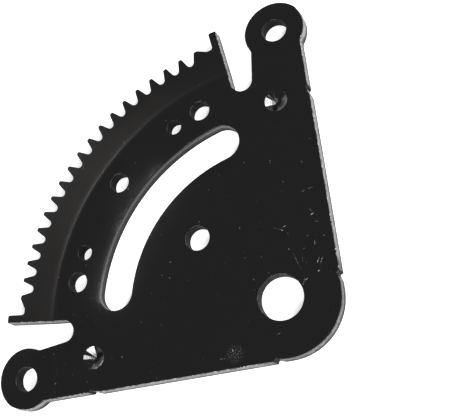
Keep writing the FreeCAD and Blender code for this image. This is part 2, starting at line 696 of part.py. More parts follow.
gap = through_cut("gap_cut", draw_tooth_gap())
teeth = body.newObject("PartDesign::PolarPattern", "teeth")
teeth.Originals = [gap]
teeth.Axis = (planes["Z_Axis"], [""])
teeth.Mode = "Extent"
teeth.setExpression("Occurrences", "sizes.tooth_count - 1")
teeth.setExpression("Angle", f"{PITCH} * (sizes.tooth_count - 2)")
body.Tip = teeth
doc.recompute()

# Rounded corners of the stops

corners = body.newObject("PartDesign::Fillet", "stop_corners")
corners.Base = (teeth, stop_corner_edges(teeth.Shape))
corners.setExpression("Radius", "sizes.stop_corner_radius")
body.Tip = corners
doc.recompute()

# Every object and the finished solid are sound before anything is written

for item in doc.Objects:
    if "Invalid" in item.State or "Error" in item.State:
        raise RuntimeError(f"{item.Label} failed: {item.State}")
for item in doc.Objects:
    if item.TypeId == "Sketcher::SketchObject" and (item.solve() != 0 or not item.FullyConstrained):
        raise RuntimeError(f"{item.Label} isn't fully held by its constraints")
shape = body.Shape
if shape.isNull() or not shape.isValid() or len(shape.Solids) != 1:
    raise RuntimeError(f"{body.Label} is not one sound solid")

os.makedirs(PARTS_FOLDER, exist_ok=True)
shape.exportStep(os.path.join(PARTS_FOLDER, f"{body.Label}.step"))

size = shape.optimalBoundingBox()
print(f"{body.Label}: {size.XLength:.2f} x {size.YLength:.2f} x {size.ZLength:.2f} mm,"
      f" {shape.Volume / 1000:.2f} cm3, {len(shape.Faces)} faces")
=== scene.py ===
# %% [markdown]
# # A sector gear, black painted
# A steering sector is one thick stamped steel plate: a pivot bore in its rounded corner, an ear on each
# arm, an arc slot, and a toothed rim that is bent up a little. This lesson cuts the plate out of curves
# with numpy, gives its edges the roll and the lean that a press leaves, and paints it satin black.
# The frame gives every place in metres; the curves are worked out in millimetres, as on a drawing.

# %% Load the frame
import math

import bpy
import numpy as np
from mathutils import Matrix, geometry


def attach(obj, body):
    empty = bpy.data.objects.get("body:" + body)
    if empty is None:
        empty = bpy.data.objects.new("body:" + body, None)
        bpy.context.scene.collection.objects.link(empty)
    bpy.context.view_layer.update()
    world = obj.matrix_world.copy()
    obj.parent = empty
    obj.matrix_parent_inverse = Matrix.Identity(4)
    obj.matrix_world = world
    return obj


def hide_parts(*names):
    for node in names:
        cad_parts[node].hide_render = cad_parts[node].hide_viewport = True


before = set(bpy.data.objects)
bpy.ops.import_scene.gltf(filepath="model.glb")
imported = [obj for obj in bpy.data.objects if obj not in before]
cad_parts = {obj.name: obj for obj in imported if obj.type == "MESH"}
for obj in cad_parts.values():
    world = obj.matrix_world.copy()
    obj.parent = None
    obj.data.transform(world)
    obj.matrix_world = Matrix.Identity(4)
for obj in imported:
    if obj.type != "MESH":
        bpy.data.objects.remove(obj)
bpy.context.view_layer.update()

# %% [markdown]
# ## The drawing of the plate
# The packed solid is exact, but its mesh has few facets and knife-sharp edges. A stamped plate never has
# those: the punch drags the steel down at one edge of each wall and tears it at the other. So the
# outline is drawn again from the same sizes, finely, and the walls are swept along it with their real
# profile. An angle on the plate is measured from the middle tooth, positive to the right.

# %% Sizes, in millimetres and degrees
THICKNESS = 6.7
CORNER, PIVOT_BORE = 29.25, 11.1
NICK, NICK_STEP, NICK_RAMP = 0.95, 0.5, math.radians(20.0)
LEAD, ARM_EDGE = 3.4, 26.3
BEND, BEND_ANGLE, BEND_RADIUS = 124.7, math.radians(7.0), 14.0
TEETH, PITCH = 19, 360 / 94
RIM_END, EAR_GAP = (TEETH + 1) / 2 * PITCH, 13.8
EAR_ANGLE, EAR_REACH, EAR_RADIUS, EAR_BORE = RIM_END + EAR_GAP, 142.6, 16.17, 6.4
ARM_HALF, NECK = 12.85, 3.0
TIP, ROOT, STOP, STOP_WIDTH = 144.5, 137.75, 151.0, 4.5
NOTCH_REACH, NOTCH_RADIUS = 117.5, 5.55
NOTCH_ACROSS = STOP_WIDTH + NOTCH_RADIUS
print("plate", THICKNESS, "mm thick, teeth", TEETH, "at", round(PITCH, 3), "degrees")

# %% Runs of points
PIVOT = np.zeros(2)
CHORD_ERROR, LONGEST_STEP, FEWEST_STEPS = 0.01, math.radians(8), 48


def ray(degrees):
    """Unit vector from the pivot at an angle from the middle tooth."""
    return np.array([math.sin(math.radians(degrees)), math.cos(math.radians(degrees))])


def side_of(vector):
    """The vector turned a quarter turn clockwise."""
    return np.array([vector[1], -vector[0]])


def arc(center, start, end, turn=1):
    """Points on the arc from start up to, but without, end: center + radius (cos a, sin a), with a going
    evenly from start's angle to end's, turn 1 counter-clockwise and -1 clockwise. A step is so short
    that the chord stays within CHORD_ERROR of the arc."""
    first, last = (math.atan2(*(point - center)[::-1]) for point in (start, end))
    sweep = turn * ((turn * (last - first)) % math.tau)
    radius = np.linalg.norm(start - center)
    step = min(LONGEST_STEP, 2 * math.acos(1 - CHORD_ERROR / radius))
    count = max(2, math.ceil(abs(sweep) / step))
    angles = first + sweep * np.arange(count) / count
    return center + radius * np.column_stack([np.cos(angles), np.sin(angles)])


def mirrored(points):
    """The run on the other side of the plate, in the order that keeps its direction round the outline."""
    return points[::-1] * (-1, 1)


print("a quarter of a 1 mm round has", len(arc(PIVOT, ray(0), ray(90), -1)), "steps")

# %% [markdown]
# The right side runs from the corner's lowest point up the side edge, round the ear, through the notch
# and up the rim's end to the stop. Where two curves meet they are tangent, as a die maker draws them, so
# each centre follows from the ones before it.

# %% Centres and directions of the right side
FOLD_LINES = 7
zone = np.linspace(-1, 1, FOLD_LINES) * BEND_RADIUS * math.tan(BEND_ANGLE / 2) + BEND
ear = EAR_REACH * ray(EAR_ANGLE)
side_angle = math.radians(EAR_ANGLE) - math.asin((CORNER - ARM_HALF) / EAR_REACH)
along = np.array([math.sin(side_angle), math.cos(side_angle)])
out = side_of(along)
neck_run = math.sqrt((EAR_RADIUS + NECK) ** 2 - (ARM_HALF + NECK) ** 2)
edge_end = ear @ along - neck_run
edge_start = edge_end - ARM_EDGE
under_ramp = -along * math.sin(NICK_RAMP) - out * math.cos(NICK_RAMP)
down_ramp = along * math.cos(NICK_RAMP) - out * math.sin(NICK_RAMP)
nick_one = out * CORNER + along * (LEAD + NICK / math.sin(NICK_RAMP))
nick_two = out * CORNER + along * (edge_start - NICK)
long_ramp = (NICK * math.cos(NICK_RAMP) + NICK_STEP) / math.sin(NICK_RAMP)
arm_start, arm_end = out * CORNER + along * edge_start, out * CORNER + along * edge_end
neck_out = out * (CORNER + NECK) + along * edge_end
ear_out = neck_out + (ear - neck_out) * NECK / np.linalg.norm(ear - neck_out)

radial, across = ray(RIM_END), side_of(ray(RIM_END))
notch = across * NOTCH_ACROSS + radial * math.sqrt(NOTCH_REACH ** 2 - NOTCH_ACROSS ** 2)
span = ear - notch
heading = math.atan2(span[1], span[0]) + math.asin((ARM_HALF + NOTCH_RADIUS) / np.linalg.norm(span))
inner_along = np.array([math.cos(heading), math.sin(heading)])
inner_side = -side_of(inner_along)
neck_in = ear + inner_side * (ARM_HALF + NECK) - inner_along * neck_run
ear_in = neck_in + (ear - neck_in) * NECK / np.linalg.norm(ear - neck_in)
print("side edges", round(math.degrees(side_angle), 2), "degrees off the middle line")


# %% The stop at the end of the teeth
def on_stop(x, y):
    """A point by its distance across the rim's end ray and along it."""
    return across * x + radial * y


CORNER_ROUND, END_DEPTH, FLOOR_WIDTH, FOOT_ROUND = 1.0, 3.0, 3.45, 1.5
TIP_WIDTH = 1.98
stop_high, floor_high = STOP - CORNER_ROUND, TIP - END_DEPTH
outer_x = STOP_WIDTH - CORNER_ROUND
outer_center = on_stop(outer_x, math.sqrt(stop_high ** 2 - outer_x ** 2))
inner_center = on_stop(CORNER_ROUND, math.sqrt(stop_high ** 2 - CORNER_ROUND ** 2))
foot_center, foot_end = on_stop(-FOOT_ROUND, floor_high + FOOT_ROUND), on_stop(-FOOT_ROUND, floor_high)
crest = math.radians(PITCH) - TIP_WIDTH / 2 / TIP
rise = [on_stop(STOP_WIDTH, math.sqrt(radius ** 2 - STOP_WIDTH ** 2)) for radius in zone]
print("stop", round(STOP_WIDTH, 1), "mm wide,", round(STOP - floor_high, 1), "mm above the floor beside it")

# %% The whole right side
AFTER_STEP, BEFORE_NICK, AFTER_NICK = 1.6, 0.8, 1.5
right = np.vstack([
    arc(PIVOT, np.array([0, -CORNER]), out * CORNER),
    out * CORNER,
    out * CORNER + along * LEAD,
    arc(nick_one, nick_one + under_ramp * NICK, nick_one + along * NICK, -1),
    nick_one + along * NICK,
    nick_one + along * NICK + out * NICK_STEP,
    nick_one + along * (NICK + AFTER_STEP) + out * NICK_STEP,
    nick_two + under_ramp * NICK - down_ramp * long_ramp,
    nick_two + under_ramp * NICK - down_ramp * BEFORE_NICK,
    arc(nick_two, nick_two + under_ramp * NICK, arm_start, -1),
    arm_start,
    arm_start + along * AFTER_NICK,
    arc(neck_out, arm_end, ear_out, -1),
    arc(ear, ear_out, ear_in),
    arc(neck_in, ear_in, neck_in - inner_side * NECK, -1),
    arc(notch, notch - inner_side * NOTCH_RADIUS, notch - across * NOTCH_RADIUS, -1),
    notch - across * NOTCH_RADIUS,
    *rise,
    arc(outer_center, outer_center + across * CORNER_ROUND, outer_center * STOP / stop_high),
    arc(PIVOT, outer_center * STOP / stop_high, inner_center * STOP / stop_high),
    arc(inner_center, inner_center * STOP / stop_high, inner_center - across * CORNER_ROUND),
    inner_center - across * CORNER_ROUND,
    arc(foot_center, on_stop(0, floor_high + FOOT_ROUND), foot_end, -1),
    foot_end,
    on_stop(-FLOOR_WIDTH, floor_high),
    on_stop(-TIP * math.sin(crest), TIP * math.cos(crest)),
])
print("right side", len(right), "points")

# %% [markdown]
# The teeth are stubby, with straight flanks: nineteen of them, ninety-four to a full turn. One gap is
# drawn on its own ray, from the tip of the tooth on its right to the tip of the one on its left, and
# laid on the other rays by turning it. The round of a tip touches the flank and the tip circle, so its
# centre is where a line beside the flank meets a circle inside the tips.

# %% The teeth
FLANK, TIP_ROUND = math.radians(19.5), 1.1
half_gap = math.radians(PITCH) / 2 - TIP_WIDTH / 2 / TIP
gap_x, gap_y = TIP * math.sin(half_gap), TIP * math.cos(half_gap)
root_round = (gap_x * math.cos(FLANK) - (gap_y - ROOT) * math.sin(FLANK)) / (1 - math.sin(FLANK))
root_center = np.array([0, ROOT + root_round])
root_touch = root_center + root_round * np.array([math.cos(FLANK), -math.sin(FLANK)])
beside = np.array([gap_x + TIP_ROUND / math.cos(FLANK), gap_y])
inward = -np.array([math.sin(FLANK), math.cos(FLANK)])
tip_high = TIP - TIP_ROUND
run_up = beside @ inward + math.sqrt((beside @ inward) ** 2 - beside @ beside + tip_high ** 2)
tip_center = beside - inward * run_up
tip_touch = tip_center + TIP_ROUND * np.array([-math.cos(FLANK), math.sin(FLANK)])
half = np.vstack([arc(tip_center, tip_center * TIP / tip_high, tip_touch), tip_touch])
root = np.vstack([arc(root_center, root_touch, root_touch * (-1, 1), -1), root_touch * (-1, 1)])
gap = np.vstack([half, root, mirrored(half)[1:]])
gaps = TEETH - 1
rays = np.radians(PITCH * (np.arange(gaps)[::-1] - (gaps - 1) / 2))[:, None]
turned = np.stack([gap[:, 0] * np.cos(rays) + gap[:, 1] * np.sin(rays),
                   gap[:, 1] * np.cos(rays) - gap[:, 0] * np.sin(rays)], axis=-1)
outline = np.vstack([right, turned.reshape(-1, 2), mirrored(right)[:-1]])
print("outline", len(outline), "points,", len(gap), "to each gap")

# %% [markdown]
# The openings are drawn clockwise, so that the steel is always on the left of the line. Then one rule
# says which way is out: a quarter turn to the right of the way along.


# %% The openings
def opening(center, radius):
    """A full circle, clockwise, with a step as in an arc."""
    count = max(FEWEST_STEPS, math.ceil(math.tau / (2 * math.acos(1 - CHORD_ERROR / radius))))
    angles = -math.tau * np.arange(count) / count
    return np.array(center) + radius * np.column_stack([np.cos(angles), np.sin(angles)])


SLOT_IN, SLOT_OUT, SLOT_ANGLE = 78.6, 97.7, 32.6
CENTER_REACH, CENTER_BORE = 53.6, 6.4
HOLES, LARGE_HOLE, LARGE_ANGLE, SMALL_HOLE, SMALL_ANGLE = 111.4, 5.35, 30.1, 4.0, 21.7
right_end, left_end = ((SLOT_IN + SLOT_OUT) / 2 * ray(angle) for angle in (SLOT_ANGLE, -SLOT_ANGLE))
in_right, out_right, in_left, out_left = (
    radius * ray(angle) for angle in (SLOT_ANGLE, -SLOT_ANGLE) for radius in (SLOT_IN, SLOT_OUT))
slot = np.vstack([arc(PIVOT, out_left, out_right, -1), arc(right_end, out_right, in_right, -1),
                  arc(PIVOT, in_right, in_left), arc(left_end, in_left, out_left, -1)])
openings = [opening(PIVOT, PIVOT_BORE), opening((0, CENTER_REACH), CENTER_BORE),
            opening((0, HOLES), LARGE_HOLE), slot]
pairs = ((EAR_REACH, EAR_ANGLE, EAR_BORE), (HOLES, LARGE_ANGLE, LARGE_HOLE), (HOLES, SMALL_ANGLE, SMALL_HOLE))
for reach, angle, radius in pairs:
    openings += [opening(reach * ray(side * angle), radius) for side in (1, -1)]
print(len(openings), "openings")

# %% [markdown]
# ## From the flat to the bent plate
# A press bends the finished blank. The same can be done with the points: a point that lies beyond the
# bend line keeps its distance from the line along the surface, and goes up the slope. Its depth below
# the front face is then measured square to the slope.


# %% Bending the blank
SHORT_OF_BEND = 1.0


def bend_up(flat, depth):
    """A point of the rim, at flat radius r, goes to the radius and height of the bent section: r and 0
    before the bend, on an arc in it, and on the slope beyond it. The ears, across the notches, stay flat,
    as if they lay short of the bend. The depth is taken off along the section's own normal. Gives the
    points, and the section's angle at each."""
    on_rim = np.abs(flat[:, 0]) * across[0] + flat[:, 1] * across[1] < NOTCH_ACROSS
    start, end = zone[0], zone[-1]
    radius = np.where(on_rim, np.linalg.norm(flat, axis=1), SHORT_OF_BEND)
    turn = BEND_ANGLE * np.clip((radius - start) / (end - start), 0, 1)
    far = np.maximum(radius - end, 0)
    level = np.minimum(radius, start) + BEND_RADIUS * np.sin(turn) + far * np.cos(turn) + depth * np.sin(turn)
    height = THICKNESS + BEND_RADIUS * (1 - np.cos(turn)) + far * np.sin(turn) - depth * np.cos(turn)
    return np.column_stack([flat * (level / radius)[:, None], height]), turn


def tilted(flat, outward, lean, turn):
    """The surface's normal: lean 0 is straight up, and 90 degrees is outward in the plane of the plate.
    Both are then turned with the bent section."""
    away = flat / np.linalg.norm(flat, axis=1)[:, None]
    forward = np.sum(outward * away, axis=1)
    sideways = outward - forward[:, None] * away
    up, level = np.cos(lean), np.sin(lean)
    plane = away * (level * forward * np.cos(turn) - up * np.sin(turn))[:, None] + sideways * level[:, None]
    return np.column_stack([plane, level * forward * np.sin(turn) + up * np.cos(turn)])


stop_top = bend_up(np.array([[0.0, STOP]]), np.zeros(1))[0][0]
print("the bend lifts the stops' edge by", round(stop_top[2] - THICKNESS, 2), "mm")

# %% [markdown]
# ## The walls
# A wall is one grid: the outline one way, and the press's profile the other. A punched opening is rolled
# over on top, where the punch drags the steel in with it, and nearly sharp at the back. The outside of the
# blank is nearly sharp on both faces, but its sides that face away from the teeth are torn, and lean in
# towards the front.


# %% Profiles of a cut wall
ROUND_ROWS, MIDDLE_ROWS = 5, (0.38, 0.44, 0.56, 0.62)


def profile(top_round, foot_round):
    """Rows of inset, depth and lean down a wall: a round of a quarter turn from the front, square steel
    with a few rows for the finish to hold on to, and a round of a quarter turn to the back."""
    quarter = np.linspace(0, math.pi / 2, ROUND_ROWS)
    top = np.column_stack([top_round * (1 - np.sin(quarter)), top_round * (1 - np.cos(quarter)), quarter])
    foot = np.column_stack([foot_round * (1 - np.cos(quarter)),
                            THICKNESS - foot_round * (1 - np.sin(quarter)), math.pi / 2 + quarter])
    middle = [[0, THICKNESS * share, math.pi / 2] for share in MIDDLE_ROWS]
    return np.vstack([top, middle, foot])


blank_edge = profile(top_round=0.12, foot_round=0.12)
punched_edge = profile(top_round=0.35, foot_round=0.10)
print("wall", len(blank_edge), "rows")

# %% Walls from profiles
FACING_AWAY, FULLY_AWAY = 0.1, 0.5
points, normals, traits, quads, triangles = [], [], [], [], []


def count_points():
    """How many points there are so far, which is the index of the next one."""
    return sum(len(part) for part in points)


def trait(count, depth, rubbed=0.0, drilled=0.0):
    """What the finish needs to know of each point: its share of the depth, and the kind of its surface."""
    return np.column_stack([np.full(count, value) for value in (depth / THICKNESS, rubbed, drilled)])


def ring_faces(first, rings, count):
    """Quads between rings of points that follow each other from the first index on."""
    row, column = np.meshgrid(np.arange(rings - 1), np.arange(count), indexing="ij")
    a = first + row * count + column
    b = first + row * count + (column + 1) % count
    return np.stack([a + count, b + count, b, a], axis=-1).reshape(-1, 4)


def wall(path, rows, rubbed, torn=0.0, shaved=0.0):
    """A grid of rows down the wall by points along the path. A row lies inset from the path along each
    corner's bisector. At the top it lies further in by the shaved edge's own lean, and by the torn lean
    of the walls that face away from the teeth, both less and less down to the middle rows. Gives the
    first index and the points of the top and the bottom row."""
    ahead = np.roll(path, -1, axis=0) - path
    length = np.linalg.norm(ahead, axis=1)[:, None]
    after = np.column_stack([ahead[:, 1], -ahead[:, 0]]) / length
    before = np.roll(after, 1, axis=0)
    bisector = (after + before) / (1 + np.sum(after * before, axis=1))[:, None]
    weighted = after * length + before * np.roll(length, 1, axis=0)
    outward = weighted / np.linalg.norm(weighted, axis=1)[:, None]
    away = (-outward[:, 1:] - FACING_AWAY) / (FULLY_AWAY - FACING_AWAY)
    slack = shaved + torn * np.clip(away, 0, 1)
    first, count = count_points(), len(path)
    for inset, depth, lean in rows:
        flat = path - bisector * (inset + slack * max(0, 1 - depth / THICKNESS / MIDDLE_ROWS[0]))
        solid, turn = bend_up(flat, np.full(count, depth))
        points.append(solid)
        normals.append(tilted(flat, outward, np.full(count, lean), turn))
        traits.append(trait(count, depth, rubbed))
    quads.append(ring_faces(first, len(rows), count))
    last = first + (len(rows) - 1) * count
    return (first, path - bisector * (rows[0][0] + slack)), (last, path - bisector * rows[-1][0])


print("ready for", 1 + len(openings), "walls")

# %% [markdown]
# The finish has to know where the walls are painted pale, for paint rubbed thin and as a painted
# reflection of the white floor: on the outer walls; hardly at all in the nicks, among the teeth and in
# the holes, where the floor they mirror lies in shade; and in between in the slot, more towards its ends.
# Each point gets a number for it, from 0 to 1. Blender blends such numbers along an edge of the mesh, so
# the outline has a point of its own close to each end of a nick.

# %% Where the walls are rubbed and painted with reflected light
# These numbers paint the walls pale: partly paint rubbed thin, partly a painted reflection of the floor, left
# out of the holes, whose floor lies in shade.
RUB_AND_LIGHT, NICK_RUB_AND_LIGHT, HOLE_RUB_AND_LIGHT = 1.0, 0.03, 0.04
SLOT_ANGLES, SLOT_RUB_AND_LIGHT = (24, 34), (0.30, 0.75)
INSIDE_STOP, EDGE_BAND = 0.5, 2
FIRST_NICK, SECOND_NICK, PAST_NICK = 2.1, 1.7, 0.1
aside = np.column_stack([np.abs(outline[:, 0]), outline[:, 1]])
in_teeth = aside @ across < STOP_WIDTH - INSIDE_STOP
up_edge = aside @ along
step_end = nick_one @ along + NICK
in_first = (step_end - FIRST_NICK < up_edge) & (up_edge < step_end + PAST_NICK)
in_second = (edge_start - SECOND_NICK < up_edge) & (up_edge < edge_start + PAST_NICK)
in_nick = (aside @ out > CORNER - EDGE_BAND) & (in_first | in_second)
slot_angle = np.degrees(np.arctan2(np.abs(slot[:, 0]), slot[:, 1]))
slot_rubbed = np.interp(slot_angle, SLOT_ANGLES, SLOT_RUB_AND_LIGHT)
print("points in the nicks", int(in_nick.sum()), "and among the teeth", int(in_teeth.sum()))

# %% All the walls
TORN_LEAN, SHAVED_LEAN, PAST_STEP = 0.5, 0.12, 0.5
on_shaved = (aside @ out > CORNER + NICK_STEP / 2) & (up_edge > step_end + PAST_STEP)
shaved = np.where(on_shaved, SHAVED_LEAN, 0.0)[:, None]
loops = [wall(outline, blank_edge, np.where(in_teeth | in_nick, NICK_RUB_AND_LIGHT, RUB_AND_LIGHT), TORN_LEAN, shaved)]
loops += [wall(path, punched_edge, slot_rubbed if path is slot else HOLE_RUB_AND_LIGHT) for path in openings]
front_loops, back_loops = (list(side) for side in zip(*loops))
print("walls", count_points(), "points")

# %% [markdown]
# The root of each arm has a blind mark, drilled with a blunt bit: a cone with a small flat at its
# bottom. Its rim is a little rolled over by paint. It is the same grid again, with rows of radius, depth
# and lean going inwards: round the lip, down the cone to just above the floor, to the floor's edge, and
# onto the floor. The side away from the teeth is painted pale, as a painted pool of light. The points on
# the very rim don't count as drilled, so that none of that finish leaks onto the flat face.

# %% The profile of a drill mark
MARK_SETBACK, MARK_RADIUS, MARK_DEPTH, MARK_FLOOR = 40.8, 5.9, 3.4, 0.8
LIP_ROUND, LIP_ROWS = 0.4, 4
slope = math.atan2(MARK_DEPTH, MARK_RADIUS - MARK_FLOOR)
lip_center = MARK_RADIUS + LIP_ROUND * (math.sin(slope) - (1 - math.cos(slope)) / math.tan(slope))
rolls = np.linspace(0, slope, LIP_ROWS)
lip = np.column_stack([lip_center - LIP_ROUND * np.sin(rolls), LIP_ROUND * (1 - np.cos(rolls)), rolls])
by_floor = np.array([
    [0.3, -0.3 * math.tan(slope), slope],
    [0.02, -0.015, slope],
    [-0.05, 0, 0],
])
cone = np.vstack([lip, by_floor + (MARK_FLOOR, MARK_DEPTH, 0)])
print("marks", round(math.degrees(slope), 1), "degrees steep")

# %% The drill marks
# The side of each mark away from the teeth gets a painted pool of light, which the finish paints pale grey.
LIT_SIDE_SPOKES, LIT_SIDE_RADII = (0.62, 0.80), (1.8, 2.8)
for side in (1, -1):
    center = (EAR_REACH - MARK_SETBACK) * ray(side * EAR_ANGLE)
    spokes = opening(PIVOT, 1.0)
    first, count = count_points(), len(spokes)
    lit_side = np.interp(-spokes[:, 1], LIT_SIDE_SPOKES, (0, 1))
    for radius, depth, lean in cone:
        flat = center + spokes * radius
        points.append(bend_up(flat, np.full(count, depth))[0])
        normals.append(tilted(flat, -spokes, np.full(count, lean), np.zeros(count)))
        traits.append(trait(count, depth, lit_side * np.interp(radius, LIT_SIDE_RADII, (0, 1)), 1.0) * (depth > 0))
    quads.append(ring_faces(first, len(cone), count))
    front_loops.append((first, center + spokes * lip_center))
    heart, last = count_points(), first + (len(cone) - 1) * count
    points.append(bend_up(center[None], np.array([MARK_DEPTH]))[0])
    normals.append(np.array([[0.0, 0.0, 1.0]]))
    traits.append(trait(1, MARK_DEPTH, drilled=1.0))
    turn_on = np.arange(count)
    triangles.append(np.column_stack([last + (turn_on + 1) % count, last + turn_on, np.full(count, heart)]))
print("walls and marks", count_points(), "points")

# %% [markdown]
# ## The two faces
# What is left is flat, or nearly: the front and the back between the walls. A Delaunay triangulation
# fills each between its loops. Lines of points along the bend keep the fold smooth, and triangles whose
# middle lies outside the steel are dropped.


# %% Which spots are steel
BATCH = 500


def inside(spots, loops):
    """True where a ray to the right of a spot crosses the loops an odd number of times. The spots are
    tested in batches, to keep the tables of spots by edges small."""
    crossings = np.zeros(len(spots), int)
    for loop in loops:
        start, end = loop, np.roll(loop, -1, axis=0)
        run = end - start
        for first in range(0, len(spots), BATCH):
            x, y = spots[first:first + BATCH, :1], spots[first:first + BATCH, 1:]
            between = (start[:, 1] > y) != (end[:, 1] > y)
            with np.errstate(divide="ignore", invalid="ignore"):
                where = start[:, 0] + (y - start[:, 1]) * run[:, 0] / run[:, 1]
            crossings[first:first + BATCH] += np.sum(between & (x < where), axis=1)
    return crossings % 2 == 1


bore_and_beside = np.array([[0.0, 0.0], [0.0, (PIVOT_BORE + CORNER) / 2]])
print("steel in the pivot bore, and beside it:", inside(bore_and_beside, [outline, *openings]).tolist())

# %% Fold lines
FOLD_POINTS = 120


def fold_line(rim, radius, depth, upward):
    """A line of points along the bend, at one radius and depth, from one end of the rim to the other.
    Gives the first index, the flat points, and which points of the rim's outline lie at its two ends."""
    rim_end = RIM_END + math.degrees(math.asin(STOP_WIDTH / radius))
    wanted = [radius * ray(side * rim_end) for side in (1, -1)]
    ends = [int(np.argmin(np.linalg.norm(rim - spot, axis=1))) for spot in wanted]
    reach = math.degrees(math.atan2(*rim[ends[0]]))
    angles = np.radians(np.linspace(reach, -reach, FOLD_POINTS + 2)[1:-1])
    line = radius * np.column_stack([np.sin(angles), np.cos(angles)])
    first, count = count_points(), len(line)
    solid, turn = bend_up(line, np.full(count, depth))
    lean = np.full(count, 0.0 if upward else math.pi)
    points.append(solid)
    normals.append(tilted(line, np.zeros_like(line), lean, turn))
    traits.append(trait(count, depth))
    return first, line, ends


print(FOLD_LINES, "fold lines from", round(zone[0], 2), "to", round(zone[-1], 2), "mm")

# %% Filling a face
SAME_SPOT = 1e-6


def fill(loops, depth, upward):
    """Triangles between the loops, at one depth, with fold lines along the bend. Those that run the
    wrong way round are turned, so that all face outwards."""
    flats = [flat for _, flat in loops]
    indices = [first + np.arange(len(flat)) for first, flat in loops]
    starts = np.cumsum([0] + [len(flat) for flat in flats])
    edges = [np.column_stack([start + np.arange(len(flat)), start + (np.arange(len(flat)) + 1) % len(flat)])
             for start, flat in zip(starts, flats)]
    for radius in zone:
        first, line, ends = fold_line(flats[0], radius, depth, upward)
        base, steps = sum(len(flat) for flat in flats), np.arange(len(line))
        run = np.concatenate([[ends[0]], base + steps, [ends[1]]])
        edges.append(np.column_stack([run[:-1], run[1:]]))
        flats.append(line)
        indices.append(first + steps)
    flat, index = np.vstack(flats), np.concatenate(indices)
    given = [tuple(spot) for spot in flat]
    made = geometry.delaunay_2d_cdt(given, np.vstack(edges).tolist(), [], 0, SAME_SPOT)
    source = np.array([origin[0] if origin else -1 for origin in made[3]])
    faces = np.array([face for face in made[2] if len(face) == 3])
    middles = np.array([tuple(spot) for spot in made[0]])[faces].mean(axis=1)
    kept = faces[inside(middles, [loop for _, loop in loops])]
    corners = index[source[kept]]
    first, second, third = (flat[source[kept]][:, corner] for corner in range(3))
    area = (second - first)[:, 0] * (third - first)[:, 1] - (second - first)[:, 1] * (third - first)[:, 0]
    corners[area < 0] = corners[area < 0][:, ::-1]
    triangles.append(corners if upward else corners[:, ::-1])
    print("face at depth", depth, ":", len(corners), "triangles,", int((source < 0).sum()), "strays")


fill(front_loops, 0.0, True)
fill(back_loops, THICKNESS, False)

# %% [markdown]
# Now the rows of points become one mesh. Its normals are the exact ones of the drawn curves, not those
# that Blender would average from the faces, so that the light runs cleanly over the rounds and the fold.

# %% The finished plate
mesh = bpy.data.meshes.new("sector_plate")
solid = np.vstack(points) / 1000
four, three = np.vstack(quads), np.vstack(triangles)
mesh.vertices.add(len(solid))
mesh.vertices.foreach_set("co", solid.ravel())
mesh.loops.add(four.size + three.size)
mesh.loops.foreach_set("vertex_index", np.concatenate([four.ravel(), three.ravel()]).astype(np.int32))
mesh.polygons.add(len(four) + len(three))
starts = np.concatenate([np.arange(len(four)) * 4, four.size + np.arange(len(three)) * 3])
mesh.polygons.foreach_set("loop_start", starts.astype(np.int32))
mesh.polygons.foreach_set("use_smooth", np.ones(len(starts), bool))
for name, values in zip(("depth", "rubbed", "drilled"), np.vstack(traits).T):
    mesh.attributes.new(name, "FLOAT", "POINT").data.foreach_set("value", values.astype(np.float32))
mesh.update(calc_edges=True)
mesh.validate()
mesh.normals_split_custom_set_from_vertices(np.vstack(normals).tolist())
plate = bpy.data.objects.new("sector_plate", mesh)
bpy.context.scene.collection.objects.link(plate)
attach(plate, "root")
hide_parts("sector_gear")
print("plate", len(mesh.vertices), "vertices,", len(mesh.polygons), "faces")

# %% [markdown]
# ## Helpers for materials
# A finish is a tree of nodes. One small class keeps the trees readable: each call adds a node, joins what
# it is given, and gives back the output, so that a finish reads like a formula.


